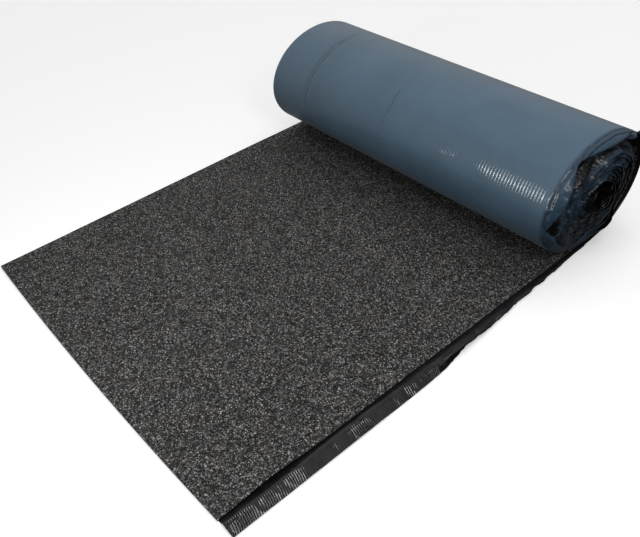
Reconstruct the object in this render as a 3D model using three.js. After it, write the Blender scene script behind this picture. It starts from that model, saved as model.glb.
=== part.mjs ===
// Roll of mineral-faced roofing felt, partly unrolled on a level floor.
// Millimetres, +Z up. X runs across the sheet, and +Y from its free end towards the roll.
// The felt lies mineral side up. It passes under the roll, climbs its far side and winds inwards,
// so the release film below it becomes the outside of the roll. The film is wider than the felt.
// Its bare margin past the felt's right-hand edge lies flat in front, and is tucked under the felt
// where the sheet passes below the roll and climbs its far side. Near the top it comes out again in
// a pinch, and from there on it folds in over the end. On the outermost turn it stands out in two
// lobes, with the rest turned in behind them. The margins of all turns further in lean towards one
// place in front of the bore, and their rims are gathered into waves.
import * as THREE from 'three';
import { mergeVertices } from 'three/addons/utils/BufferGeometryUtils.js';

// The stock
const feltWidth = 1000;
const feltLength = 10000;
const feltThickness = 3.5;
const filmThickness = 0.6;
const layerGap = 0.3; // between the felt's adhesive underside and the film
const filmSetback = 8; // the felt's free end stands this far in front of the film's

// The roll, loosely wound and settled under its own weight
const laidLength = 1117; // from the felt's free end to the line where the roll rests
const rollDepth = 400;
const rollHeight = 310;
const boreDepth = 120;
const boreHeight = 92;
const stationsPerTurn = 36;

// The film's bare margin
const marginWidth = 45;
const marginStart = 2; // it bends no nearer than this to the felt's edge
const tuckRun = 500; // the margin goes under the felt over this last part of the laid stretch
const tuckStations = 8;
const tuckGap = 0.9; // between the film and its tucked margin
const tuckLift = 1.65; // the tucked margin holds the sheet's right-hand edge up
const hemWidth = 0.6; // turned under where the tuck begins
const hemStations = 3;
const tuckEnd = 10; // degrees round the outermost turn, from the far side upwards
const pinchedWidth = 12;
const pinch = [
  { degrees: 20, facet: tuckGap, facetAngle: -90, rimAngle: -180 },
  { degrees: 30, facet: 3, facetAngle: -45, rimAngle: -115 },
  { degrees: 40, facet: 6, facetAngle: 0, rimAngle: -50 },
  { degrees: 50, facet: 6, facetAngle: 25, rimAngle: 10 },
];
const lobes = [{ middle: 84, halfSpan: 35, reach: 24 }, { middle: 153, halfSpan: 33, reach: 28 }];
const lobeFoot = 3;
const lobeAngle = 35;
const turnedInAngle = 64; // of the rest of the margin behind a lobe's foot
const turnedInGain = 1.8; // degrees more for each millimetre that the lobe stands out
const boreLean = 0.3; // of the innermost margin, inwards for each millimetre out
const leanPerTurn = 0.2;
const gathersPerTurn = 6;
const gatherHeight = 3; // of the rim's waves, to each side

const wallThickness = filmThickness + layerGap + feltThickness;
const feltMidDepth = filmThickness + layerGap + feltThickness / 2;
const outerSection = { halfDepth: rollDepth / 2, halfHeight: rollHeight / 2 };
const innerSection = {
  halfDepth: boreDepth / 2 + wallThickness,
  halfHeight: boreHeight / 2 + wallThickness,
};

// Length of felt in one turn whose film lies on this section.
function turnLength({ halfDepth, halfHeight }) {
  const outline = new THREE.EllipseCurve(0, 0, halfDepth - feltMidDepth, halfHeight - feltMidDepth);
  return outline.getLength();
}

const meanTurnLength = (turnLength(outerSection) + turnLength(innerSection)) / 2;
const turns = (feltLength - laidLength) / meanTurnLength;

// A margin runs straight to its fold line and ends in two facets. Angles are above nought where it
// folds in over the roll's end, and below nought where it folds outwards.
function marginShape(width, facet, facetAngle, rimAngle) {
  return {
    run: marginStart,
    facet,
    facetAngle: THREE.MathUtils.degToRad(facetAngle),
    rim: width - marginStart - facet,
    rimAngle: THREE.MathUtils.degToRad(rimAngle),
  };
}

// The share that has gone under the felt, and how far the hem along it has been turned, both 0 to 1.
function tuckedMargin(share, turnedUnder) {
  const shape = marginShape(marginWidth, tuckGap, -90 * turnedUnder, -180 * turnedUnder);
  const under = THREE.MathUtils.lerp(hemWidth, shape.rim, share);
  return { ...shape, run: marginStart + shape.rim - under, rim: under };
}

// How far the outermost turn's margin stands out before it turns in.
function lobeReach(degrees) {
  return lobes.reduce((reach, lobe) => {
    const offset = Math.min(Math.abs(degrees - lobe.middle) / lobe.halfSpan, 1);
    return reach + lobe.reach * Math.cos((offset * Math.PI) / 2);
  }, lobeFoot);
}

function woundMargin(turn) {
  const degrees = 360 * turn - 90;
  if (degrees < tuckEnd + 1) return tuckedMargin(1, 1);
  const pinched = pinch.find((station) => degrees < station.degrees + 1);
  if (pinched) {
    return marginShape(pinchedWidth, pinched.facet, pinched.facetAngle, pinched.rimAngle);
  }
  if (turn < 1) {
    const reach = lobeReach(degrees);
    const rimAngle = turnedInAngle + turnedInGain * (reach - lobeFoot);
    return marginShape(marginWidth, reach, lobeAngle, rimAngle);
  }
  const lean = Math.atan(boreLean + leanPerTurn * (turns - turn));
  const leanDegrees = THREE.MathUtils.radToDeg(lean);
  return marginShape(marginWidth, marginWidth / 2, leanDegrees, leanDegrees);
}

// A station has its point on the film's outer face in the Y-Z plane, the film's margin there, how
// far the gathers move its rim, and how far the sheet's right-hand edge is held up.
function woundStation(turn) {
  const angle = 2 * Math.PI * turn - Math.PI / 2;
  const wound = turn / turns;
  const halfDepth = THREE.MathUtils.lerp(outerSection.halfDepth, innerSection.halfDepth, wound);
  const halfHeight = THREE.MathUtils.lerp(outerSection.halfHeight, innerSection.halfHeight, wound);
  const point = new THREE.Vector2(
    laidLength + halfDepth * Math.cos(angle),
    rollHeight / 2 + halfHeight * Math.sin(angle),
  );
  const gather = gatherHeight * Math.sin(gathersPerTurn * angle)
    * THREE.MathUtils.smoothstep(turn, 0.4, 1) * (1 - wound);
  const lift = tuckLift * (1 - THREE.MathUtils.smoothstep(turn, 0, 0.4));
  return { point, margin: woundMargin(turn), gather, lift };
}

// Steps are counted from where the margin begins to go under. The edge is held up over the first,
// and the hem turns under over the next few.
function laidStation(step) {
  const point = new THREE.Vector2(laidLength + tuckRun * (step / tuckStations - 1), 0);
  const lift = tuckLift * Math.min(step, 1);
  const turnedUnder = THREE.MathUtils.clamp((step - 1) / hemStations, 0, 1);
  const share = THREE.MathUtils.smoothstep(step, 1 + hemStations, tuckStations);
  return { point, margin: tuckedMargin(share, turnedUnder), gather: 0, lift };
}

// The laid stretch, then the turns, with the direction towards the felt's mineral face.
function routeStations() {
  const route = [{ ...laidStation(0), point: new THREE.Vector2(0, 0) }];
  for (let step = 0; step < tuckStations; step += 1) {
    route.push(laidStation(step));
  }
  const wholeStations = Math.floor(turns * stationsPerTurn);
  for (let step = 0; step <= wholeStations; step += 1) {
    route.push(woundStation(step / stationsPerTurn));
  }
  return route.map((station, index) => {
    const before = route[Math.max(index - 1, 0)].point;
    const after = route[Math.min(index + 1, route.length - 1)].point;
    const fromBefore = station.point.clone().sub(before).normalize();
    const toAfter = after.clone().sub(station.point).normalize();
    const along = fromBefore.add(toAfter).normalize();
    return { ...station, inward: new THREE.Vector2(-along.y, along.x) };
  });
}

// A box's opposite faces are split along crossing diagonals. Where a thin sheet warps, both its
// faces need the same diagonals, so each pair of triangles on the back is split the other way.
function alignDiagonals(box) {
  const index = box.getIndex();
  const back = box.groups[5];
  for (let first = back.start; first < back.start + back.count; first += 6) {
    const [a, b, d] = [0, 1, 2].map((offset) => index.getX(first + offset));
    const c = index.getX(first + 4);
    [a, b, c, a, c, d].forEach((vertex, offset) => index.setX(first + offset, vertex));
  }
}

// The film's section: its outer face's corners as [place across, depth under the route], with the
// direction of its thickness at each.
function filmSection({ margin, gather }) {
  const { run, facet, facetAngle, rim, rimAngle } = margin;
  const fold = new THREE.Vector2(feltWidth + run, 0);
  const bend = new THREE.Vector2(facet, 0).rotateAround(new THREE.Vector2(), facetAngle).add(fold);
  const edge = new THREE.Vector2(rim, gather).rotateAround(new THREE.Vector2(), rimAngle).add(bend);
  const angles = [0, 0, facetAngle, rimAngle];
  return [new THREE.Vector2(0, 0), fold, bend, edge].map((corner, index) => {
    const before = angles[index];
    const after = angles[Math.min(index + 1, angles.length - 1)];
    const mitre = 1 / Math.cos((after - before) / 2);
    const through = new THREE.Vector2(0, mitre).rotateAround(new THREE.Vector2(), (before + after) / 2);
    return { corner, through };
  });
}

function feltSection() {
  const through = new THREE.Vector2(0, 1);
  return [0, feltWidth].map((place) => ({ corner: new THREE.Vector2(place, 0), through }));
}

// A flat sheet bent along the route. Its section at each station has the given number of corners,
// and it reaches from one depth to another under the film's outer face.
function woundSheet({ section, corners, setback, outerDepth, innerDepth }) {
  const route = routeStations();
  const spans = route.length - 1;
  const strips = corners - 1;
  const sheet = new THREE.BoxGeometry(1, 1, 1, strips, spans, 1);
  alignDiagonals(sheet);
  sheet.deleteAttribute('normal');
  sheet.deleteAttribute('uv');
  const sections = route.map(section);
  const places = sheet.getAttribute('position');
  for (let vertex = 0; vertex < places.count; vertex += 1) {
    const index = Math.round((places.getY(vertex) + 0.5) * spans);
    const { corner, through } = sections[index][Math.round((places.getX(vertex) + 0.5) * strips)];
    const { point, inward, lift } = route[index];
    const depthBelow = THREE.MathUtils.lerp(outerDepth, innerDepth, places.getZ(vertex) + 0.5);
    const across = corner.x + through.x * depthBelow;
    const depth = corner.y + through.y * depthBelow + lift * (corner.x / (feltWidth + marginWidth));
    places.setXYZ(
      vertex,
      across,
      point.x + (index === 0 ? setback : 0) + inward.x * depth,
      point.y + inward.y * depth,
    );
  }
  const closed = mergeVertices(sheet, 0.001);
  closed.computeVertexNormals();
  return closed;
}

function feltSheet() {
  const geometry = woundSheet({
    section: feltSection,
    corners: 2,
    setback: 0,
    outerDepth: filmThickness + layerGap,
    innerDepth: wallThickness,
  });
  const mineral = new THREE.MeshStandardMaterial({ color: 0x3c3a37, roughness: 0.95, metalness: 0 });
  const felt = new THREE.Mesh(geometry, mineral);
  felt.name = 'felt_sheet';
  return felt;
}

function backingFilm() {
  const geometry = woundSheet({
    section: filmSection,
    corners: 4,
    setback: filmSetback,
    outerDepth: 0,
    innerDepth: filmThickness,
  });
  const blueFilm = new THREE.MeshStandardMaterial({ color: 0x4b6173, roughness: 0.4, metalness: 0 });
  const film = new THREE.Mesh(geometry, blueFilm);
  film.name = 'backing_film';
  return film;
}

const roll = new THREE.Group();
roll.add(feltSheet(), backingFilm());

// The origin is under the middle of the whole piece, on the floor.
const extent = new THREE.Box3().setFromObject(roll);
const middle = extent.getCenter(new THREE.Vector3());
roll.position.set(-middle.x, -middle.y, -extent.min.z);

export default roll;
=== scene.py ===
import bpy
import numpy as np
from mathutils import Euler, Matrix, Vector, noise


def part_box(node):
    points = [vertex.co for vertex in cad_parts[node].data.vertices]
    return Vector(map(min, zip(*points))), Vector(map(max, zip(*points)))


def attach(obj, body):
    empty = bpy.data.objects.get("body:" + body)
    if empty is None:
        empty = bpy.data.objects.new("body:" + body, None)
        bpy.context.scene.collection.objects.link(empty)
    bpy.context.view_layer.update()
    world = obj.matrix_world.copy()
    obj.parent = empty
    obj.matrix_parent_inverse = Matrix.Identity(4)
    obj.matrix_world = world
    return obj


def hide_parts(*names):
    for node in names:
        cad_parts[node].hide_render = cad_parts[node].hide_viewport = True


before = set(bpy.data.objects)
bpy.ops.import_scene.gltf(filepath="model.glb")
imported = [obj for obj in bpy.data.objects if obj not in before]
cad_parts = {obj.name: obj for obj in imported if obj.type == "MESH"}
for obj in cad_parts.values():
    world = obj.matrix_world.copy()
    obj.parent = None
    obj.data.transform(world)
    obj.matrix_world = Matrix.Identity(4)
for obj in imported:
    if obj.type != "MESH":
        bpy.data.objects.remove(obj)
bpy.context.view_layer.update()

# ---------------------------------------------------------------- the stock, as in the CAD model
FELT_WIDTH = 1.0
FELT_LENGTH = 10.0
FELT_THICKNESS = 0.0035
FILM_THICKNESS = 0.0006
LAYER_GAP = 0.0003
FILM_SETBACK = 0.008
MARGIN_WIDTH = 0.045
LAID_LENGTH = 1.117
OUTER_HALF = np.array([0.200, 0.155])  # half the depth and half the height of the outermost turn
BORE_HALF = np.array([0.060, 0.046])

FELT_START = FILM_THICKNESS + LAYER_GAP  # depths into the wall, from the film's outer face
WALL = FILM_THICKNESS + LAYER_GAP + FELT_THICKNESS
FELT_MIDDLE = FILM_THICKNESS + LAYER_GAP + FELT_THICKNESS / 2
INNER_HALF = BORE_HALF + WALL
SHEET_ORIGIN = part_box("felt_sheet")[0]  # the felt's left corner at its free end
FLOOR = 0.0


def ellipse_length(half):
    """Ramanujan's length of an ellipse from its two half axes."""
    a, b = half
    h = ((a - b) / (a + b)) ** 2
    return np.pi * (a + b) * (1 + 3 * h / (10 + np.sqrt(4 - 3 * h)))


MEAN_TURN = (ellipse_length(OUTER_HALF - FELT_MIDDLE) + ellipse_length(INNER_HALF - FELT_MIDDLE)) / 2
TURNS = (FELT_LENGTH - LAID_LENGTH) / MEAN_TURN
OUTER_TURN = ellipse_length(OUTER_HALF)
FREE_END = -LAID_LENGTH / OUTER_TURN  # the laid stretch counts as turns below nought


def smoothstep(value, low, high):
    """0 below low, 1 above high, and smooth between them."""
    share = np.clip((np.asarray(value, float) - low) / (high - low), 0, 1)
    return share * share * (3 - 2 * share)


def turn_at(angle):
    """Turns wound at an angle in degrees: -90 at the bottom, 0 at the back, 90 on top, 180 in front."""
    return (angle + 90) / 360


def angle_at(turn):
    """The angle in degrees of a place that many turns in."""
    return 360 * turn - 90


def laid_turn(length):
    """Turns, below nought, of a place on the laid stretch that far from the free end."""
    return (length - LAID_LENGTH) / OUTER_TURN


def along_keys(turn, keys, period=None):
    """Columns read off a table keyed by turn."""
    places = sorted(keys)
    values = np.array([keys[key] for key in places], float).reshape(len(places), -1)
    return [np.interp(turn, places, column, period=period) for column in values.T]


# ---------------------------------------------------------------- how the turns lie
# The outermost turn stands off the rest of the roll, by so many turns' room at each place round it.
ROOM_ROUND_ROLL = {
    turn_at(-90): 0.0,
    turn_at(-65): 0.5,
    turn_at(-30): 1.4,
    turn_at(20): 1.4,
    turn_at(80): 1.7,
    turn_at(120): 2.5,
    turn_at(150): 1.8,
    turn_at(178): 0.7,
    turn_at(205): 0.1,
    turn_at(269): 0.0,
}
ROOM_FROM, ROOM_TO = 0.93, 1.12  # the sheet crosses that room between these turns
BUNCHING = 0.07  # how far the turns bunch up, in turns to each side
BUNCH_RATE = 0.37  # waves of it in each turn
BUNCHING_FROM, BUNCHING_TO = 1, 2  # it sets in between these turns, and fades out over the last one
LEFT_DRIFT = 0.012  # the roll's left end lies inside the laid sheet's edge
RIGHT_DRIFT = -0.002
DRIFT_TURNS = 0.4  # the ends reach those places over this much of the outermost turn
INNER_RECESS = 0.008  # the inner turns' right end lies deeper than the outermost one's,
INNER_RECESS_FROM, INNER_RECESS_TO = 0.95, 1.2
CORE_RECESS = 0.012  # and deeper still towards the bore
CORE_RECESS_FROM = 0.4  # of all turns
DIRECTION_STEP = 0.002  # turns to each side, to find which way the sheet runs


def slack(turn):
    """How many turns further in than an even winding each place lies."""
    (room,) = along_keys(turn % 1, ROOM_ROUND_ROLL, period=1)
    fade = smoothstep(turn, ROOM_FROM, ROOM_TO) * np.clip((TURNS - turn) / (TURNS - ROOM_TO), 0, 1)
    bunch = BUNCHING * np.sin(2 * np.pi * BUNCH_RATE * turn) * smoothstep(turn, BUNCHING_FROM, BUNCHING_TO)
    return room * fade + bunch * smoothstep(TURNS - turn, 0, 1)


def film_path(turn):
    """Y and Z of the film's outer face."""
    angle = 2 * np.pi * turn - np.pi / 2
    share = (turn + slack(turn)) / TURNS
    half = OUTER_HALF + (INNER_HALF - OUTER_HALF) * np.clip(share, 0, None)[:, None]
    wound_y = LAID_LENGTH + half[:, 0] * np.cos(angle)
    wound_z = OUTER_HALF[1] + half[:, 1] * np.sin(angle)
    wound = turn >= 0
    y = np.where(wound, wound_y, LAID_LENGTH + turn * OUTER_TURN)
    return np.stack([y, np.where(wound, wound_z, 0.0)], axis=1)


def wound_x(turn, sheet_x):
    """Where a place across the sheet comes to lie, once it is wound."""
    wound = smoothstep(turn, 0, DRIFT_TURNS)
    left = LEFT_DRIFT * wound
    right = RIGHT_DRIFT * wound - INNER_RECESS * smoothstep(turn, INNER_RECESS_FROM, INNER_RECESS_TO)
    right = right - CORE_RECESS * smoothstep(turn, CORE_RECESS_FROM * TURNS, TURNS)
    share = sheet_x / FELT_WIDTH
    return sheet_x + left * (1 - share) + right * share


def inward(turn):
    """Unit direction in Y and Z from the film towards the felt's mineral face."""
    along = film_path(turn + DIRECTION_STEP) - film_path(turn - DIRECTION_STEP)
    along /= np.linalg.norm(along, axis=1)[:, None]
    return np.stack([-along[:, 1], along[:, 0]], axis=1)


def travel(turn):
    """Length along the film from its free end."""
    steps = np.linalg.norm(np.diff(film_path(turn), axis=0), axis=1)
    return np.concatenate([[0.0], np.cumsum(steps)])


def place(x, y, z):
    """Points of the frame from places on the sheet."""
    return np.stack(np.broadcast_arrays(x + SHEET_ORIGIN.x, y + SHEET_ORIGIN.y, z + FLOOR), axis=-1)


def on_sheet(x, along):
    """Points of the flat sheet, to read noise at and for the materials."""
    return np.stack(np.broadcast_arrays(x, along, 0.0), axis=-1)


# ---------------------------------------------------------------- stations along the sheets
# Both sheets have the same stations round the turns, so that their facets stay parallel.
FINE_TURNS = 1.4  # the outermost turns, which show most
FINE_STEPS = 126
INNER_STEPS = 500
FILM_LAID_STEPS = 56
FELT_LAID_STEPS = 55
FELT_END_STATIONS = (0, 0.002, 0.008)  # close together at the free end
FELT_EVEN_FROM = 0.02  # and evenly spaced from here to the roll
MARGIN_STEPS = (10, 4, 3)  # of the margin to one of the film: laid, outermost turns, inner turns


def wound_stations():
    outer = np.linspace(0, FINE_TURNS, FINE_STEPS, endpoint=False)
    return np.concatenate([outer, np.linspace(FINE_TURNS, TURNS, 1 + INNER_STEPS)])


def felt_stations():
    even = np.linspace(FELT_EVEN_FROM, LAID_LENGTH, FELT_LAID_STEPS, endpoint=False)
    return np.concatenate([laid_turn(np.concatenate([FELT_END_STATIONS, even])), wound_stations()])


def film_stations():
    """The film's stations, how many steps its margin takes between each two, and the margin's own."""
    laid = np.linspace(FREE_END, 0, FILM_LAID_STEPS, endpoint=False)
    coarse = np.concatenate([laid, wound_stations()])
    steps = np.repeat(MARGIN_STEPS, (FILM_LAID_STEPS, FINE_STEPS, INNER_STEPS))
    fine = [np.linspace(a, b, n, endpoint=False) for a, b, n in zip(coarse[:-1], coarse[1:], steps)]
    return coarse, steps, np.concatenate([*fine, coarse[-1:]])


# ---------------------------------------------------------------- noise and mesh helpers
FOLD_WIDTH = 0.028  # of the margin's folds round the roll's end
FOLD_LENGTH = 0.110
# Each layer of noise has a number, which sets it apart from the others, and the size of its lumps.
NOISE_LAYERS = {
    "waves": (1, 0.22),
    "wide": (4, 0.050),
    "pleats": (5, 0.016),
    "dents": (6, 0.014),
    "folds": (7, FOLD_WIDTH),
    "uneven": (11, 0.045),
    "ragged": (12, 0.015),
    "sway": (14, 0.6),
}
LAYER_SHIFT = (7.3, 3.1, 5.7)
SHARP_ANGLE = np.radians(50)


def noise_layer(points, layer, sample):
    """One value for each point, sampled from a layer of noise."""
    number, size = NOISE_LAYERS[layer]
    shift = Vector([number * step for step in LAYER_SHIFT])
    flat = points.reshape(-1, 3) / size
    values = [sample(Vector(point) + shift) for point in flat.tolist()]
    return np.array(values).reshape(points.shape[:-1])


def lumps(points, layer):
    """Smooth noise from -1 to 1."""
    return noise_layer(points, layer, noise.noise)


def facets(points, layer):
    """Cone-like bumps with sharp valleys between them, from 0 to about 1."""
    return noise_layer(points, layer, lambda spot: noise.voronoi(spot)[0][0])


def grid_triangles(first, rows, columns):
    """Triangles of a grid whose rows run along the sheet, facing away from the mineral side."""
    index = first + np.arange(rows * columns).reshape(rows, columns)
    near_left, near_right = index[:-1, :-1].ravel(), index[:-1, 1:].ravel()
    far_left, far_right = index[1:, :-1].ravel(), index[1:, 1:].ravel()
    lower = np.stack([near_left, far_left, far_right], axis=1)
    upper = np.stack([near_left, far_right, near_right], axis=1)
    return np.concatenate([lower, upper])


def thin_solid(name, faces, triangles, sheet_places, materials):
    """A closed sheet between its outer and its inner face, which share one set of triangles. It has a
    material for each face and one for the rim."""
    outer, inner = faces
    count = len(outer)
    edges = np.concatenate([triangles[:, [0, 1]], triangles[:, [1, 2]], triangles[:, [2, 0]]])
    known = set(map(tuple, edges.tolist()))
    rim = np.array([edge for edge in edges.tolist() if (edge[1], edge[0]) not in known])
    rim_faces = np.stack([rim[:, 1], rim[:, 0], rim[:, 0] + count, rim[:, 1] + count], axis=1)
    polygons = triangles.tolist() + (triangles[:, ::-1] + count).tolist() + rim_faces.tolist()
    mesh = bpy.data.meshes.new(name)
    mesh.from_pydata(np.concatenate([outer, inner]).tolist(), [], polygons)
    for material in materials:
        mesh.materials.append(material)
    polygon_counts = [len(triangles), len(triangles), len(rim_faces)]
    slots = np.repeat(np.arange(len(materials), dtype=np.int32), polygon_counts)
    mesh.polygons.foreach_set("material_index", slots)
    mesh.polygons.foreach_set("use_smooth", np.ones(len(polygons), bool))
    sheet_place = mesh.attributes.new("sheet_place", "FLOAT_VECTOR", "POINT")
    both = np.concatenate([sheet_places, sheet_places]).astype(np.float32)
    sheet_place.data.foreach_set("vector", both.ravel())
    mesh.set_sharp_from_angle(angle=SHARP_ANGLE)
    mesh.validate()
    piece = bpy.data.objects.new(name, mesh)
    bpy.context.scene.collection.objects.link(piece)
    return piece


# ---------------------------------------------------------------- the felt
FELT_EDGE_COLUMNS = np.array([0, 0.002, 0.008, 0.02, 0.04])  # in from each edge
FELT_MIDDLE_FROM = 0.075
FELT_MIDDLE_COLUMNS = 18
WAVE_HEIGHT = 0.0010
WAVES_END = (0.35, 0.12)  # the laid felt flattens between these distances before the roll
EDGE_LIFT = 0.010  # the felt's right edge curls up near its free end
EDGE_LIFT_PLACE = 0.12
EDGE_LIFT_RUN = 0.075
EDGE_LIFT_WIDTH = 0.09
END_BOW = 0.0097  # the free end is cut in a slight bow,
BOW_RUN = 0.5  # which is gone that far along the sheet


def felt_columns():
    middle = np.linspace(FELT_MIDDLE_FROM, FELT_WIDTH - FELT_MIDDLE_FROM, FELT_MIDDLE_COLUMNS)
    return np.concatenate([FELT_EDGE_COLUMNS, middle, FELT_WIDTH - FELT_EDGE_COLUMNS[::-1]])


def laid_lift(x, y):
    """Height of the laid felt over its film."""
    fade = 1 - smoothstep(y, LAID_LENGTH - WAVES_END[0], LAID_LENGTH - WAVES_END[1])
    waves = WAVE_HEIGHT * (1 + lumps(on_sheet(x, y), "waves"))
    bump = np.exp(-(((y - EDGE_LIFT_PLACE) / EDGE_LIFT_RUN) ** 2))
    near_edge = smoothstep(x, FELT_WIDTH - EDGE_LIFT_WIDTH, FELT_WIDTH) ** 2
    return fade * (waves + EDGE_LIFT * bump * near_edge)


def end_bow(x, y):
    """How far the laid felt stands out past a straight end, most in the middle of its width."""
    share = x / FELT_WIDTH
    return END_BOW * 4 * share * (1 - share) * (1 - smoothstep(y, 0, BOW_RUN))


def make_felt(materials):
    """The felt, whose rows run across it and follow each other from its free end to the bore."""
    columns, turns = felt_columns(), felt_stations()
    path, normal, along = film_path(turns), inward(turns), travel(turns)
    x = wound_x(turns[:, None], columns)
    y, z = path[:, :1], path[:, 1:]
    laid = turns[:, None] < 0
    lift = np.where(laid, laid_lift(x, y), 0)
    bow = end_bow(x, y) * laid
    faces = []
    for depth in (FELT_START, WALL):
        points = place(x, y - bow + normal[:, :1] * depth, z + lift + normal[:, 1:] * depth)
        faces.append(points.reshape(-1, 3))
    triangles = grid_triangles(0, len(turns), len(columns))
    sheet_places = on_sheet(columns, along[:, None]).reshape(-1, 3)
    return thin_solid("felt_roll", faces, triangles, sheet_places, materials)


# ---------------------------------------------------------------- the film's bare margin
# The margin leaves the felt's edge, bends, shows for a while, bends again and ends in a flap. Its keys
# are how far it goes before the first bend, that bend's run and angle, how far along it the second bend
# starts, the angle of the flap past that bend, and the whole width. Angles are in degrees, above nought
# where the margin folds in over the roll's end and below where it folds outwards.
def one_bend(start, run, angle, width=MARGIN_WIDTH):
    """Keys of a margin that bends only once."""
    return (start, run, angle, MARGIN_WIDTH, angle, width)


LOBES_FROM, LOBES_TO = turn_at(55), turn_at(190)
BACK_AND_UNDER = {
    FREE_END: one_bend(0.014, 0.006, -7),
    laid_turn(0.28): one_bend(0.010, 0.006, -8),
    laid_turn(0.37): one_bend(0.011, 0.006, -9),
    laid_turn(0.45): one_bend(0.018, 0.006, -12),
    laid_turn(0.50): one_bend(0.026, 0.006, -25),
    laid_turn(0.56): one_bend(0.028, 0.005, -50),
    laid_turn(0.65): one_bend(0.029, 0.004, -125),
    laid_turn(0.72): one_bend(0.027, 0.004, -165),
    laid_turn(0.89): one_bend(0.015, 0.004, -174, 0.030),
    turn_at(-90): one_bend(0.007, 0.004, -174, 0.018),
    turn_at(30): one_bend(0.006, 0.005, -165, 0.024),
    turn_at(42): one_bend(0.004, 0.005, -90, 0.012),
    turn_at(48): one_bend(0.003, 0.006, 30, 0.014),
    LOBES_FROM: (0.0, 0.008, 34, 0.012, 130, 0.035),
}
BELOW_LOBES = {
    LOBES_TO: (0.0, 0.006, 46, 0.008, 140, MARGIN_WIDTH),
    turn_at(205): (0.0, 0.008, 55, 0.022, 120, MARGIN_WIDTH),
    turn_at(222): (0.0, 0.008, 72, 0.020, 140, MARGIN_WIDTH),
    turn_at(245): (0.0, 0.008, 84, 0.016, 140, MARGIN_WIDTH),
}
# The outermost turn stands out over the end in two lobes, each with its middle and half its span in
# degrees and its reach.
LOBES = ((84, 35, 0.024), (153, 33, 0.028))
LOBE_FOOT = 0.003
LOBE_BEND = 0.005  # the first bend's run beside the lobes,
LOBE_BEND_GAIN = 0.2  # and how much longer it is for each metre that a lobe stands out
LOBE_ANGLE = 50
LOBE_ANGLE_LOSS = 500  # degrees less for each metre that a lobe stands out
LOBE_FLAP_ANGLE = 150
FLAP_OPENING = 40  # degrees less where the flap opens most,
FLAP_OPENING_AT, FLAP_OPENING_WIDTH = 152, 22  # at and around this angle
# Further in, every margin leans towards one place in front of the bore.
LEANING_FROM, LEANING_TO = turn_at(245), turn_at(285)
BORE_LEAN = 0.3  # of the innermost margin, inwards for each metre out
LEAN_PER_TURN = 0.2
MOST_LEAN = 52
LEAN_SWAY = 12  # degrees to each side
SWAY_PER_TURN = 0.12  # how far the sway's noise moves on with each turn
LEAN_START, LEAN_BEND, LEAN_SHOWN = 0.002, 0.012, 0.028
LEAN_FLAP = 14  # degrees more past the second bend
# The second turn stands out more in some places, by so many degrees.
SECOND_TURN_RISE = {
    1 + turn_at(0): 0,
    1 + turn_at(66): 0,
    1 + turn_at(74): 28,
    1 + turn_at(98): 30,
    1 + turn_at(106): 8,
    1 + turn_at(135): 14,
    1 + turn_at(165): 12,
    1 + turn_at(190): 0,
}
DROPPED_LEAN = 72  # of the innermost margin, where it has dropped over the bore
DROPPED_FROM, DROPPED_TO = TURNS - 0.66, TURNS - 0.12
DROPPED_FADE = 0.06
# The first bend wanders along the margin, more on the inner turns than on the laid stretch.
WANDER_WOUND, WANDER_LAID = 0.002, 0.0012
WANDER_WOUND_FROM, WANDER_WOUND_TO = 0.95, 1.05
WANDER_LAID_END = -0.1
RAGGED_SHARE = 0.5  # of finer wander
SECOND_BEND = 0.007  # its run
LEAST_FLAT, LEAST_FLAP, LEAST_RIM = 0.003, 0.002, 0.001  # left past the first bend and the second
MARGIN_COLUMNS = 16
MARGIN_SAMPLES = 120  # across the margin, from which the columns are picked
BEND_WEIGHT = 0.35  # how many columns gather in the bends
FLOOR_LEFT_FROM, FLOOR_LEFT_TO = 0.02, 0.08  # the margin is kept above the floor up to between these
LIFT_SHARE = 0.7  # of the way to the first bend's end, over which the margin is lifted for that


def lobe_keys(turn):
    """The margin's keys where the outermost turn stands out in lobes."""
    degrees = angle_at(turn)
    reach = LOBE_FOOT
    for middle, half_span, height in LOBES:
        offset = np.clip(np.abs(degrees - middle) / half_span, 0, 1)
        reach = reach + height * np.cos(np.pi / 2 * offset)
    out = reach - LOBE_FOOT
    bend = LOBE_BEND + LOBE_BEND_GAIN * out
    angle = LOBE_ANGLE - LOBE_ANGLE_LOSS * out
    flap_angle = LOBE_FLAP_ANGLE - FLAP_OPENING * np.exp(
        -(((degrees - FLAP_OPENING_AT) / FLAP_OPENING_WIDTH) ** 2)
    )
    return np.stack(np.broadcast_arrays(0.0, bend, angle, reach, flap_angle, MARGIN_WIDTH))


def lean_keys(turn, sway):
    """The same for the turns further in."""
    lean = np.degrees(np.arctan(BORE_LEAN + LEAN_PER_TURN * (TURNS - turn)))
    (rise,) = along_keys(turn, SECOND_TURN_RISE)
    lean = np.minimum(lean, MOST_LEAN) + LEAN_SWAY * sway - rise
    dropped = smoothstep(turn, DROPPED_FROM, DROPPED_FROM + DROPPED_FADE)
    dropped = dropped * (1 - smoothstep(turn, DROPPED_TO, DROPPED_TO + DROPPED_FADE))
    lean += (DROPPED_LEAN - lean) * dropped
    keys = (LEAN_START, LEAN_BEND, lean, LEAN_SHOWN, lean + LEAN_FLAP, MARGIN_WIDTH)
    return np.stack(np.broadcast_arrays(*keys))


def margin_keys(turn, sway):
    """The margin's keys at each station, with its angles in radians."""
    outer = np.array(along_keys(turn, {**BACK_AND_UNDER, **BELOW_LOBES}))
    outer = np.where((turn > LOBES_FROM) & (turn < LOBES_TO), lobe_keys(turn), outer)
    inner = lean_keys(turn, sway)
    start, bend, angle, shown, flap_angle, width = (
        outer + (inner - outer) * smoothstep(turn, LEANING_FROM, LEANING_TO)
    )
    return start, bend, np.radians(angle), shown, np.radians(flap_angle), width


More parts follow.
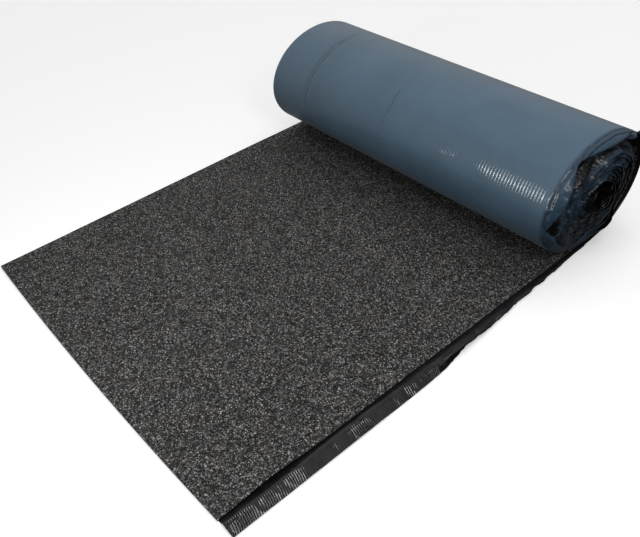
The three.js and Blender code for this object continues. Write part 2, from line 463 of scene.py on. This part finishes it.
def margin_row(start, bend, angle, shown, second, flap_angle, width):
    """Columns of the margin at one station: length along it, out, in, and the way that each faces."""
    length = width * np.linspace(0, 1, MARGIN_SAMPLES)
    first_turned = np.clip((length - start) / bend, 0, 1)
    second_turned = np.clip((length - shown) / (second - shown), 0, 1)
    facing = angle * first_turned + (flap_angle - angle) * second_turned
    middle = (facing[1:] + facing[:-1]) / 2
    step = length[1]
    out = np.concatenate([[0], np.cumsum(np.cos(middle) * step)])
    into = np.concatenate([[0], np.cumsum(np.sin(middle) * step)])
    weight = 1 / MARGIN_SAMPLES + BEND_WEIGHT * np.abs(np.diff(facing))
    filled = np.concatenate([[0], np.cumsum(weight)])
    wanted = np.linspace(0, filled[-1], MARGIN_COLUMNS)
    return [np.interp(wanted, filled, values) for values in (length, out, into, facing)]


def margin_profile(turn, along):
    """For each column of the margin: length along it, how far out and in it lies, and the way it faces."""
    round_roll = 2 * np.pi * turn
    ring = np.stack([np.cos(round_roll), np.sin(round_roll), SWAY_PER_TURN * turn], axis=-1)
    start, bend, angle, shown, flap_angle, width = margin_keys(turn, lumps(ring, "sway"))
    spots = on_sheet(along, 0.0)
    wander = lumps(spots, "uneven") + RAGGED_SHARE * lumps(spots, "ragged")
    wound_in = smoothstep(turn, WANDER_WOUND_FROM, WANDER_WOUND_TO)
    start = start + (WANDER_WOUND * wound_in + WANDER_LAID * (turn < WANDER_LAID_END)) * wander
    start = np.maximum(start, 0)
    reach = start + bend
    width = np.maximum(width, reach + LEAST_FLAT)
    shown = np.clip(shown, reach, width - LEAST_FLAP)
    second = np.minimum(shown + SECOND_BEND, width - LEAST_RIM)
    rows = [margin_row(*keys) for keys in zip(start, bend, angle, shown, second, flap_angle, width)]
    run, out, into, facing = np.array(rows).transpose(1, 0, 2)
    lift = np.clip(-into.min(axis=1), 0, None) + FILM_THICKNESS
    on_floor = 1 - smoothstep(turn, FLOOR_LEFT_FROM, FLOOR_LEFT_TO)
    into = into + (lift * on_floor)[:, None] * smoothstep(run, 0, LIFT_SHARE * reach[:, None])
    return run, out, into, facing


# ---------------------------------------------------------------- the margin's creases
# Heights that each layer of noise gives to the inner turns, to the outermost one and to the laid strip,
# and about what each layer is at its middle.
INNER_WIDE, INNER_FOLDS, INNER_PLEATS = 0.006, 0.014, 0.002
OUTER_WIDE, OUTER_PLEATS, OUTER_DENTS = 0.003, 0.0025, 0.001
STRIP_WIDE, STRIP_PLEATS, STRIP_RIDGE = 0.0012, 0.0030, 0.002
MIDDLE_FOLD = 0.3
MIDDLE_PLEAT = 0.3
MIDDLE_STRIP_PLEAT = 0.35
MIDDLE_DENT = 0.5
OUTERMOST_FROM, OUTERMOST_TO = 0.3, 0.95  # turns
PLEAT_STRETCH = np.array([0.35, 1, 1])  # the pleats run across the margin
# Creases set in between these distances from the felt's edge.
LOOSE_FROM, LOOSE_TO = 0.002, 0.028
STRIP_FROM, STRIP_TO = 0.002, 0.012
STRIP_PLEATS_FROM, STRIP_PLEATS_TO = 0.010, 0.030
STRIP_RIDGE_PLACE, STRIP_RIDGE_WIDTH = 0.016, 0.004
STRIP_RIDGE_FROM, STRIP_RIDGE_TO = -0.1, 0.2  # of the wide layer, so that the ridge comes and goes
TUCKED_FROM, TUCKED_TO = 2.0, 2.9  # a margin turned back by so many radians is pressed flat,
PRESSED = 0.92  # by so much


def folds_round(points):
    """Noise drawn out round the roll's end."""
    offset = (points - place(FELT_WIDTH, LAID_LENGTH, OUTER_HALF[1]))[..., 1:]
    ring = np.hypot(offset[..., 0], offset[..., 1] * OUTER_HALF[0] / OUTER_HALF[1])
    angle = np.arctan2(offset[..., 1], offset[..., 0])
    reach = OUTER_HALF.mean() * FOLD_WIDTH / FOLD_LENGTH
    return lumps(np.stack([ring, reach * np.cos(angle), reach * np.sin(angle)], axis=-1), "folds")


def crumple(turn, run, facing, points, along):
    """How far the margin's creases stand off its smooth shape."""
    pressed = PRESSED * smoothstep(np.abs(facing[:, -1:]), TUCKED_FROM, TUCKED_TO)
    shaded_loose = smoothstep(run, LOOSE_FROM, LOOSE_TO) * (1 - pressed)
    laid = (turn < 0)[:, None]
    outermost = ((turn > OUTERMOST_FROM) & (turn < OUTERMOST_TO))[:, None]
    sheet = on_sheet(run, along[:, None])
    wide = lumps(points, "wide")
    pleats = np.abs(lumps(sheet * PLEAT_STRETCH, "pleats"))
    dents = facets(sheet, "dents")
    folds = MIDDLE_FOLD - np.abs(folds_round(points))
    inner = INNER_WIDE * wide + INNER_FOLDS * folds + INNER_PLEATS * (MIDDLE_PLEAT - pleats)
    outer = OUTER_WIDE * wide + OUTER_PLEATS * (MIDDLE_PLEAT - pleats)
    outer = outer + OUTER_DENTS * (MIDDLE_DENT - dents)
    ridge = np.exp(-(((run - STRIP_RIDGE_PLACE) / STRIP_RIDGE_WIDTH) ** 2))
    ridge = ridge * smoothstep(wide, STRIP_RIDGE_FROM, STRIP_RIDGE_TO)
    strip_pleats = STRIP_PLEATS * (MIDDLE_STRIP_PLEAT - pleats)
    strip_pleats = strip_pleats * smoothstep(run, STRIP_PLEATS_FROM, STRIP_PLEATS_TO)
    strip = STRIP_WIDE * (1 + wide) + strip_pleats + STRIP_RIDGE * ridge
    strip = smoothstep(run, STRIP_FROM, STRIP_TO) * strip
    return np.where(laid, strip, shaded_loose * np.where(outermost, outer, inner))


# ---------------------------------------------------------------- the film
FILM_EDGE_COLUMN = 0.012  # in from each edge of the felt
FILM_MIDDLE_COLUMNS = (0.10, 0.25, 0.42, 0.58, 0.74, 0.88, 0.965)
LOWEST_MARGIN = (0.0002, 0.0004)  # the least height of its outer and its inner face over the floor


def set_back(turn):
    """How far the film's end lies behind the felt's."""
    return np.where(turn <= FREE_END, FILM_SETBACK, 0)[:, None]


def film_body(turn):
    """The film under the felt: its two faces, its places on the sheet and its number of columns."""
    columns = np.array([0, FILM_EDGE_COLUMN, *FILM_MIDDLE_COLUMNS, FELT_WIDTH - FILM_EDGE_COLUMN])
    path, normal, along = film_path(turn), inward(turn), travel(turn)
    x = wound_x(turn[:, None], columns)
    faces = []
    for depth in (0, FILM_THICKNESS):
        y = path[:, :1] + set_back(turn) + normal[:, :1] * depth
        points = place(x, y, path[:, 1:] + normal[:, 1:] * depth)
        faces.append(points.reshape(-1, 3))
    return faces, on_sheet(columns, along[:, None]).reshape(-1, 3), len(columns)


def film_margin(turn):
    """The same for the bare margin."""
    path, normal, along = film_path(turn), inward(turn), travel(turn)
    run, out, into, facing = margin_profile(turn, along)
    side = wound_x(turn, FELT_WIDTH)[:, None]

    def margin_points(outwards, inwards):
        y = path[:, :1] + set_back(turn) + normal[:, :1] * inwards
        z = path[:, 1:] + normal[:, 1:] * inwards
        return place(side + outwards, y, z)

    creases = crumple(turn, run, facing, margin_points(out, into), along)
    faces = []
    for depth, lowest in zip((0, FILM_THICKNESS), LOWEST_MARGIN):
        off = depth + creases
        points = margin_points(out - np.sin(facing) * off, into + np.cos(facing) * off)
        points[..., 2] = np.maximum(points[..., 2], lowest)
        faces.append(points.reshape(-1, 3))
    return faces, on_sheet(FELT_WIDTH + run, along[:, None]).reshape(-1, 3), run.shape[1]


def seam_triangles(steps, columns, first_margin, margin_columns):
    """Triangles between the film's last column and its margin's first, which has more stations."""
    seam = []
    fine_row = 0
    for row, count in enumerate(steps):
        left = row * columns + columns - 1
        next_left = left + columns
        half = count // 2
        right = [first_margin + (fine_row + step) * margin_columns for step in range(count + 1)]
        seam += [(left, right[step + 1], right[step]) for step in range(half)]
        seam.append((left, next_left, right[half]))
        seam += [(next_left, right[step + 1], right[step]) for step in range(half, count)]
        fine_row += count
    return np.array(seam)


def make_film(materials):
    """The release film: the part under the felt, the bare margin and the seam that joins them."""
    coarse, steps, fine = film_stations()
    body, body_places, columns = film_body(coarse)
    margin, margin_places, margin_columns = film_margin(fine)
    first_margin = len(body[0])
    triangles = [
        grid_triangles(0, len(coarse), columns),
        grid_triangles(first_margin, len(fine), margin_columns),
        seam_triangles(steps, columns, first_margin, margin_columns),
    ]
    faces = [np.concatenate(pair) for pair in zip(body, margin)]
    sheet_places = np.concatenate([body_places, margin_places])
    return thin_solid("film_roll", faces, np.concatenate(triangles), sheet_places, materials)


# ---------------------------------------------------------------- materials
class Finish:
    """A material with short ways to add the nodes that the finishes here use."""

    def __init__(self, name):
        self.material = bpy.data.materials.new(name)
        self.material.use_nodes = True
        self.tree = self.material.node_tree
        self.shader = self.tree.nodes["Principled BSDF"]
        self.spot = self.node("ShaderNodeAttribute", attribute_name="sheet_place").outputs["Vector"]
        self.relief = None  # the last bump, which the next one adds to

    def node(self, kind, **settings):
        made = self.tree.nodes.new(kind)
        for name, value in settings.items():
            setattr(made, name, value)
        return made

    def feed(self, socket, value):
        if isinstance(value, bpy.types.NodeSocket):
            self.tree.links.new(value, socket)
        else:
            socket.default_value = value

    def set(self, name, value):
        self.feed(self.shader.inputs[name], value)

    def maths(self, operation, *values):
        made = self.node("ShaderNodeMath", operation=operation)
        for socket, value in zip(made.inputs, values):
            self.feed(socket, value)
        return made.outputs[0]

    def between(self, value, low, high):
        """0 at low, 1 at high, and smooth between them."""
        made = self.node("ShaderNodeMapRange", interpolation_type="SMOOTHSTEP")
        for socket, given in zip(made.inputs, (value, low, high)):
            self.feed(socket, given)
        return made.outputs[0]

    def axis(self, name):
        """Place across the sheet (X) or along it (Y)."""
        made = self.node("ShaderNodeSeparateXYZ")
        self.feed(made.inputs[0], self.spot)
        return made.outputs[name]

    def cells(self, size):
        """A random value for each grain of about that size, and the distance from its middle."""
        made = self.node("ShaderNodeTexVoronoi", feature="F1")
        self.feed(made.inputs["Vector"], self.spot)
        made.inputs["Scale"].default_value = 1 / size
        split = self.node("ShaderNodeSeparateColor")
        self.feed(split.inputs[0], made.outputs["Color"])
        return split.outputs[0], made.outputs["Distance"]

    def clouds(self, size, detail=2.0, stretch=(1, 1, 1)):
        """Soft noise with lumps of about that size, longer where the stretch is under 1."""
        scaled = self.node("ShaderNodeVectorMath", operation="MULTIPLY")
        self.feed(scaled.inputs[0], self.spot)
        scaled.inputs[1].default_value = stretch
        made = self.node("ShaderNodeTexNoise")
        self.feed(made.inputs["Vector"], scaled.outputs[0])
        made.inputs["Scale"].default_value = 1 / size
        made.inputs["Detail"].default_value = detail
        return made.outputs[0]

    def ramp(self, value, stops):
        """Colours or plain values, read off at places from 0 to 1."""
        made = self.node("ShaderNodeValToRGB")
        self.feed(made.inputs[0], value)
        elements = made.color_ramp.elements
        while len(elements) < len(stops):
            elements.new(0.5)  # placed below
        for element, (position, shade) in zip(elements, stops):
            colour = shade if isinstance(shade, tuple) else (shade,) * 3
            element.position = position
            element.color = (*colour, 1)
        return made.outputs[0]

    def mix(self, share, first, second, blend="MIX"):
        made = self.node("ShaderNodeMix", data_type="RGBA", blend_type=blend)
        for name, value in (("Factor_Float", share), ("A_Color", first), ("B_Color", second)):
            socket = next(item for item in made.inputs if item.identifier == name)
            self.feed(socket, value if isinstance(value, (bpy.types.NodeSocket, float)) else (*value, 1))
        return next(item for item in made.outputs if item.identifier == "Result_Color")

    def bump(self, height, depth, socket="Normal"):
        """Adds relief to what there is, or gives the coat that relief with more of its own."""
        made = self.node("ShaderNodeBump")
        made.inputs["Distance"].default_value = depth
        self.feed(made.inputs["Height"], height)
        if self.relief is not None:
            self.feed(made.inputs["Normal"], self.relief)
        if socket == "Normal":
            self.relief = made.outputs[0]
        self.feed(self.shader.inputs[socket], made.outputs[0])


# Sizes and depths are in metres, and colours are linear. A ramp is places with their colours or values.
GRAIN_SIZE = 0.0016
CLUSTER_SIZE = 0.0034
GRAIN_SHARE, CLUSTER_SHARE = 0.5, 0.5
GRANULE_GREYS = ((0.20, 0.010), (0.50, 0.070), (0.74, 0.31), (0.90, 0.88))
GRANULE_SHADE = ((0.10, 1.0), (0.60, 0.30))  # from a cluster's middle outwards
TINT_SIZE = 0.045
GRANULE_TINTS = ((0.35, (0.99, 0.99, 0.97)), (0.5, (1.0, 0.985, 0.95)), (0.66, (1.04, 0.98, 0.93)))
GRANULE_ROUGHNESS = ((0.0, 0.9), (0.8, 0.75), (1.0, 0.4))
GRANULE_GLOSS = 0.25
GRANULE_DEPTH = 0.0012


def mineral_finish():
    """Dark slate granules of mixed greys, pressed into bitumen."""
    finish = Finish("mineral_granules")
    grain, from_middle = finish.cells(GRAIN_SIZE)
    cluster, from_cluster = finish.cells(CLUSTER_SIZE)
    grain_part = finish.maths("MULTIPLY", grain, GRAIN_SHARE)
    cluster_part = finish.maths("MULTIPLY", cluster, CLUSTER_SHARE)
    grey = finish.ramp(finish.maths("ADD", grain_part, cluster_part), GRANULE_GREYS)
    grey = finish.mix(1.0, grey, finish.ramp(from_cluster, GRANULE_SHADE), "MULTIPLY")
    tint = finish.ramp(finish.clouds(TINT_SIZE, detail=0.0), GRANULE_TINTS)
    finish.set("Base Color", finish.mix(1.0, grey, tint, "MULTIPLY"))
    finish.set("Roughness", finish.ramp(grain, GRANULE_ROUGHNESS))
    finish.set("Specular IOR Level", GRANULE_GLOSS)
    finish.bump(finish.maths("SUBTRACT", 1.0, from_middle), GRANULE_DEPTH)
    return finish.material


BITUMEN_LUMPS = 0.004
BITUMEN_BLACKS = ((0.3, (0.006, 0.006, 0.006)), (0.8, (0.022, 0.021, 0.020)))
BITUMEN_ROUGHNESS = 0.5
BITUMEN_DEPTH = 0.001


def bitumen_finish():
    """The felt's cut edges and its bonding side."""
    finish = Finish("bitumen")
    uneven = finish.clouds(BITUMEN_LUMPS, detail=3.0)
    finish.set("Base Color", finish.ramp(uneven, BITUMEN_BLACKS))
    finish.set("Roughness", BITUMEN_ROUGHNESS)
    finish.bump(uneven, BITUMEN_DEPTH)
    return finish.material


RIB_WANDER_SIZE = 0.05


def ribs(finish, coordinate, pitch, wander, stretch=(1, 1, 1)):
    """Fine ribs across a coordinate, a little uneven."""
    uneven = finish.clouds(RIB_WANDER_SIZE, detail=1.0, stretch=stretch)
    shifted = finish.maths("MULTIPLY_ADD", uneven, wander, coordinate)
    return finish.maths("SINE", finish.maths("MULTIPLY", shifted, 2 * np.pi / pitch))


# The film's outside: satin over the felt, with less coat on the loose margin, whose blues are darker as
# painted shade, and painted shade on the margins inside the roll, darkest near the felt's edge.
MARGIN_LOOK_FROM, MARGIN_LOOK_TO = 0.986, 0.998  # across
WOUND_LOOK_FROM, WOUND_LOOK_TO = 2.1, 2.4  # along
HAZE_SIZE = 0.12
BONDED_BLUES = ((0.3, (0.068, 0.136, 0.206)), (0.7, (0.086, 0.166, 0.246)))
# Darker blues on the loose margin, as painted shade.
MARGIN_SHADE_BLUES = ((0.3, (0.042, 0.084, 0.134)), (0.7, (0.054, 0.104, 0.160)))
# Painted shade on the margins inside the roll, in darker and lighter patches.
WOUND_SHADE_SIZE = 0.05
WOUND_SHADE_BLUES = ((0.35, (0.010, 0.020, 0.034)), (0.65, (0.052, 0.096, 0.146)))
# Painted shade deep between the wound margins, near black at the felt's edge.
GAP_SHADE_COLOUR = (0.005, 0.006, 0.008)
GAP_SHADE_SIZE = 0.025
GAP_SHADE_WANDER = 0.020
GAP_SHADE_FROM, GAP_SHADE_TO = 0.037, 0.052  # the painted shade near the felt's edge gives way between these distances, with that wander
BONDED_ROUGHNESS, MARGIN_ROUGHNESS_CHANGE = 0.6, -0.2
BONDED_COAT, MARGIN_COAT_CHANGE = 0.9, -0.60
COAT_ROUGHNESS = 0.14
OUTSIDE_GLOSS = 0.4
SHEEN, SHEEN_ROUGHNESS = 0.15, 0.35
DENTS_SIZE, DENTS_DEPTH = 0.05, 0.0012
DENTS_STRETCH = (0.12, 1, 1)
CLOUDS_MIDDLE = 0.5  # the value that the soft noise lies round
WOUND_FOLDS = ((0.010, 0.0015), (0.022, 0.008))  # size and depth of the margin's folds in the roll,
MARGIN_FOLDS = (0.030, 0.005)  # and of those all along it

# Creases round the roll: place across, from and to along the sheet, depth and width.
CREASES = (
    (0.146, 1.60, 1.94, 0.0010, 0.0030),
    (0.158, 1.62, 1.96, 0.0014, 0.0030),
    (0.465, 1.70, 1.90, 0.0007, 0.0028),
    (1.003, 1.45, 2.20, 0.0035, 0.0055),
    (1.014, 1.45, 1.80, 0.0020, 0.0030),
)
CREASE_WANDER = 0.010
CREASE_WANDER_SIZE = 0.06
CREASE_FALL = 0.37  # height left at a crease's width from its middle
CREASE_BREAK_SIZE = 0.03
CREASE_BREAK_FROM, CREASE_BREAK_TO = 0.28, 0.50
CREASE_FADE = 0.06  # at each end
# Painted shade along the creases: its share and its colour.
CREASE_SHADE_SHARE = 0.45
CREASE_SHADE_COLOUR = (0.010, 0.020, 0.034)

# Ribs round the roll. The coat's are broader, and make the streaks in the gloss.
RIB_STRETCH = (1, 0.2, 1)
RIBS_SMOOTH_FROM, RIBS_SMOOTH_TO = 0.990, 0.968  # across: none past the first, all up to the second
RIB_PATCH_SIZE = 0.09
RIB_PATCHES = ((0.30, 0.5), (0.60, 1.0))
FINE_PITCH, FINE_WANDER, FINE_DEPTH = 0.0085, 0.008, 0.00020
COAT_PITCH, COAT_WANDER, COAT_DEPTH = 0.0088, 0.006, 0.0003
COAT_LUMPS, COAT_LUMPS_SHARE = 0.012, 0.5
COAT_LUMPS_STRETCH = (1, 0.10, 1)
LEFT_RIBS_FROM, LEFT_RIBS_TO = 0.45, 0.05  # across: leftwards between these the ribs grow deeper,
LEFT_RIBS_GAIN = 2.4  # by up to so many times their depth


def film_blue(finish, across, margin, wound_in):
    """The outside film's colour without its creases, with painted shade on the loose margin and inside the
    roll.
    """
    haze = finish.clouds(HAZE_SIZE, detail=4.0)
    bonded = finish.ramp(haze, BONDED_BLUES)
    # The loose margin's darker blues are painted shade.
    shaded_loose = finish.ramp(haze, MARGIN_SHADE_BLUES)
    # Painted shade for the margins inside the roll, in patches.
    wound_shade = finish.ramp(finish.clouds(WOUND_SHADE_SIZE, detail=1.0), WOUND_SHADE_BLUES)
    # Painted shade near the felt's edge, deep between the wound margins.
    out = finish.maths("SUBTRACT", across, FELT_WIDTH)
    shade_out = finish.maths("MULTIPLY_ADD", finish.clouds(GAP_SHADE_SIZE, detail=1.0), GAP_SHADE_WANDER, out)
    shaded_wound = finish.mix(finish.between(shade_out, GAP_SHADE_FROM, GAP_SHADE_TO), GAP_SHADE_COLOUR, wound_shade)
    return finish.mix(wound_in, finish.mix(margin, bonded, shaded_loose), shaded_wound)


def add_creases(finish, across, along, colour):
    """Creases in the relief, and the colour with painted shade along them."""
    for middle, start, end, depth, width in CREASES:
        wander_from = -middle - CREASE_WANDER * CLOUDS_MIDDLE
        wander = finish.maths("MULTIPLY_ADD", finish.clouds(CREASE_WANDER_SIZE), CREASE_WANDER, wander_from)
        near = finish.maths("DIVIDE", finish.maths("ADD", across, wander), width)
        line = finish.maths("POWER", CREASE_FALL, finish.maths("MULTIPLY", near, near))
        whole = finish.between(finish.clouds(CREASE_BREAK_SIZE), CREASE_BREAK_FROM, CREASE_BREAK_TO)
        line = finish.maths("MULTIPLY", line, whole)
        starts = finish.between(along, start, start + CREASE_FADE)
        ends = finish.between(along, end, end - CREASE_FADE)
        line = finish.maths("MULTIPLY", line, finish.maths("MULTIPLY", starts, ends))
        finish.bump(line, -depth)
        # Painted shade along the crease.
        colour = finish.mix(finish.maths("MULTIPLY", line, CREASE_SHADE_SHARE), colour, CREASE_SHADE_COLOUR)
    return colour


def add_folds(finish, size, depth, share):
    """Sharp valleys, where the share lets them through."""
    above = finish.maths("SUBTRACT", finish.clouds(size, detail=1.0), CLOUDS_MIDDLE)
    fold = finish.maths("ABSOLUTE", above)
    finish.bump(finish.maths("MULTIPLY", fold, share), depth)


def add_ribs(finish, across):
    """Ribs in the gloss coat and in the film, up to just before the crumpled margin."""
    smooth = finish.between(across, RIBS_SMOOTH_FROM, RIBS_SMOOTH_TO)
    patches = finish.ramp(finish.clouds(RIB_PATCH_SIZE), RIB_PATCHES)
    strength = finish.maths("MULTIPLY", patches, smooth)
    fine = finish.maths("MULTIPLY", ribs(finish, across, FINE_PITCH, FINE_WANDER, RIB_STRETCH), strength)
    broad = finish.maths("MULTIPLY", ribs(finish, across, COAT_PITCH, COAT_WANDER, RIB_STRETCH), strength)
    slow = finish.clouds(COAT_LUMPS, detail=1.0, stretch=COAT_LUMPS_STRETCH)
    coat = finish.maths("MULTIPLY_ADD", slow, COAT_LUMPS_SHARE, broad)
    finish.bump(coat, COAT_DEPTH, "Coat Normal")
    on_left = finish.between(across, LEFT_RIBS_FROM, LEFT_RIBS_TO)
    left = finish.maths("MULTIPLY_ADD", on_left, LEFT_RIBS_GAIN, 1.0)
    finish.bump(finish.maths("MULTIPLY", fine, left), FINE_DEPTH)


def outside_film_finish():
    """Satin blue-grey release film, with fine ribs round the roll and crumpled past the felt's edge."""
    finish = Finish("film_outside")
    across, along = finish.axis("X"), finish.axis("Y")
    margin = finish.between(across, MARGIN_LOOK_FROM, MARGIN_LOOK_TO)
    wound = finish.between(along, WOUND_LOOK_FROM, WOUND_LOOK_TO)
    wound_in = finish.maths("MULTIPLY", margin, wound)
    colour = film_blue(finish, across, margin, wound_in)
    roughness = finish.maths("MULTIPLY_ADD", margin, MARGIN_ROUGHNESS_CHANGE, BONDED_ROUGHNESS)
    finish.set("Roughness", roughness)
    finish.set("Specular IOR Level", OUTSIDE_GLOSS)
    finish.set("Sheen Weight", SHEEN)
    finish.set("Sheen Roughness", SHEEN_ROUGHNESS)
    finish.set("Coat Weight", finish.maths("MULTIPLY_ADD", margin, MARGIN_COAT_CHANGE, BONDED_COAT))
    finish.set("Coat Roughness", COAT_ROUGHNESS)
    finish.bump(finish.clouds(DENTS_SIZE, stretch=DENTS_STRETCH), DENTS_DEPTH)
    finish.set("Base Color", add_creases(finish, across, along, colour))
    for size, depth in WOUND_FOLDS:
        add_folds(finish, size, depth, wound_in)
    add_folds(finish, *MARGIN_FOLDS, margin)
    add_ribs(finish, across)
    return finish.material


# The film's inside: ribs across its margin, which bend back from its edge and come in patches.
INSIDE_ROUGHNESS = 0.22
INSIDE_GLOSS = 0.5
INSIDE_HAZE = 0.02
INSIDE_BLACKS = ((0.3, (0.010, 0.010, 0.012)), (0.7, (0.020, 0.019, 0.021)))
INSIDE_PITCH, INSIDE_WANDER, INSIDE_DEPTH = 0.0050, 0.0016, 0.0010
INSIDE_CURVE = 4.0  # metres along the sheet for each square metre out
INSIDE_PATCH_SIZE = 0.06
INSIDE_PATCH_STRETCH = (0.3, 1, 1)
INSIDE_PATCHES = ((0.42, 0.12), (0.64, 0.9))
INSIDE_RIBS_FROM, INSIDE_RIBS_TO = 0.006, 0.026  # out from the felt's edge


def inside_film_finish():
    """Glossy black side of the film, with fine curved ribs across its margin."""
    finish = Finish("film_inside")
    finish.set("Roughness", INSIDE_ROUGHNESS)
    finish.set("Specular IOR Level", INSIDE_GLOSS)
    finish.set("Base Color", finish.ramp(finish.clouds(INSIDE_HAZE, detail=3.0), INSIDE_BLACKS))
    out = finish.maths("SUBTRACT", finish.axis("X"), FELT_WIDTH)
    curve = finish.maths("MULTIPLY", out, out)
    along = finish.maths("MULTIPLY_ADD", curve, INSIDE_CURVE, finish.axis("Y"))
    patches = finish.clouds(INSIDE_PATCH_SIZE, detail=1.0, stretch=INSIDE_PATCH_STRETCH)
    strength = finish.ramp(patches, INSIDE_PATCHES)
    shown = finish.between(out, INSIDE_RIBS_FROM, INSIDE_RIBS_TO)
    strength = finish.maths("MULTIPLY", strength, shown)
    curved = ribs(finish, along, INSIDE_PITCH, INSIDE_WANDER)
    finish.bump(finish.maths("MULTIPLY", curved, strength), INSIDE_DEPTH)
    return finish.material


# ---------------------------------------------------------------- the two pieces
bitumen, mineral = bitumen_finish(), mineral_finish()
outside, inside = outside_film_finish(), inside_film_finish()
felt = make_felt([bitumen, mineral, bitumen])
film = make_film([outside, inside, inside])
for piece, node, slot in ((felt, "felt_sheet", "mineral_felt"), (film, "backing_film", "release_film")):
    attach(piece, "root")
    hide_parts(node)

# ---------------------------------------------------------------- floor, world, light and camera
WHITE = (1, 1, 1, 1)
FLOOR_HALF = 9.0
FLOOR_COLOUR = (0.9, 0.9, 0.9, 1)
FLOOR_ROUGHNESS = 0.9
FLOOR_GLOW = 0.35
# The room is bright on the roll's left and above, and dim on the side that its right end faces.
BRIGHT_SIDE = (-0.64, 0.05, 0.77)
GLOW_FROM, GLOW_TO = -0.3, 1.0  # how far a direction points to the bright side
DIM_GLOW, BRIGHT_GLOW = 0.01, 0.55
BACKDROP_GLOW = 1.0
ROLL_MIDDLE = Vector((0.3, 0.35, 0.25))
CAMERA_PLACE = (1.17051, -0.91272, 1.17542)
CAMERA_TURN = (49.4614, 3.7927, 49.0428)
CAMERA_LENS = 40.673
CAMERA_SENSOR = 36


def make_floor():
    """A white floor that glows a little, and throws no light up under the roll."""
    corners = [(x * FLOOR_HALF, y * FLOOR_HALF, FLOOR) for x, y in ((-1, -1), (1, -1), (1, 1), (-1, 1))]
    mesh = bpy.data.meshes.new("floor")
    mesh.from_pydata(corners, [], [(0, 1, 2, 3)])
    finish = bpy.data.materials.new("floor")
    finish.use_nodes = True
    shader = finish.node_tree.nodes["Principled BSDF"]
    shader.inputs["Base Color"].default_value = FLOOR_COLOUR
    shader.inputs["Roughness"].default_value = FLOOR_ROUGHNESS
    shader.inputs["Emission Color"].default_value = WHITE
    shader.inputs["Emission Strength"].default_value = FLOOR_GLOW
    mesh.materials.append(finish)
    made = bpy.data.objects.new("floor", mesh)
    made.visible_diffuse = False
    made.visible_glossy = False
    bpy.context.scene.collection.objects.link(made)
    return made


def make_world():
    """A room that is brighter on one side, with a plain white backdrop for the camera."""
    world = bpy.data.worlds.new("studio")
    world.use_nodes = True
    nodes, links = world.node_tree.nodes, world.node_tree.links
    towards = nodes.new("ShaderNodeVectorMath")
    towards.operation = "DOT_PRODUCT"
    towards.inputs[1].default_value = BRIGHT_SIDE
    links.new(nodes.new("ShaderNodeTexCoord").outputs["Generated"], towards.inputs[0])
    glow = nodes.new("ShaderNodeMapRange")
    glow.inputs["From Min"].default_value = GLOW_FROM
    glow.inputs["From Max"].default_value = GLOW_TO
    glow.inputs["To Min"].default_value = DIM_GLOW
    glow.inputs["To Max"].default_value = BRIGHT_GLOW
    links.new(towards.outputs["Value"], glow.inputs["Value"])
    backdrop = nodes.new("ShaderNodeMix")
    links.new(nodes.new("ShaderNodeLightPath").outputs["Is Camera Ray"], backdrop.inputs["Factor"])
    links.new(glow.outputs[0], backdrop.inputs["A"])
    backdrop.inputs["B"].default_value = BACKDROP_GLOW
    links.new(backdrop.outputs["Result"], nodes["Background"].inputs["Strength"])
    nodes["Background"].inputs["Color"].default_value = WHITE
    return world


def add_light(name, kind, energy, direction, distance=4.0, size=None, angle=None):
    """A light that shines on the roll from a direction, given as seen from it."""
    data = bpy.data.lights.new(name, kind)
    data.energy = energy
    if size is not None:
        data.shape = "RECTANGLE"
        data.size, data.size_y = size
    if angle is not None:
        data.angle = np.radians(angle)
    light = bpy.data.objects.new(name, data)
    light.location = ROLL_MIDDLE + Vector(direction).normalized() * distance
    light.rotation_euler = Vector(direction).to_track_quat("Z", "Y").to_euler()
    bpy.context.scene.collection.objects.link(light)
    return light


def make_camera():
    """The camera that was fitted to the photograph."""
    data = bpy.data.cameras.new("camera")
    data.sensor_width = CAMERA_SENSOR
    data.lens = CAMERA_LENS
    made = bpy.data.objects.new("camera", data)
    made.location = CAMERA_PLACE
    made.rotation_euler = Euler([np.radians(angle) for angle in CAMERA_TURN])
    bpy.context.scene.collection.objects.link(made)
    return made


floor = make_floor()
bpy.context.scene.world = make_world()
bpy.context.scene.view_settings.view_transform = "Standard"

overhead = add_light("overhead", "SUN", energy=0.77, direction=(-0.08, 0.50, 0.86), angle=42)
overhead.visible_glossy = False
# The key only makes the gloss on the roll's side, which the ribs break into streaks.
key = add_light("key", "AREA", energy=5.0, direction=(-0.06, -0.85, 0.34), distance=1.5, size=(0.22, 0.70))
key.visible_diffuse = False
add_light("near", "AREA", energy=3.1, direction=(-0.25, -1.45, 0.55), distance=1.6, size=(0.28, 0.28))
add_light("fill", "AREA", energy=11, direction=(0.66, -0.28, 0.70), distance=2.2, size=(0.8, 0.8))

bpy.context.scene.camera = make_camera()
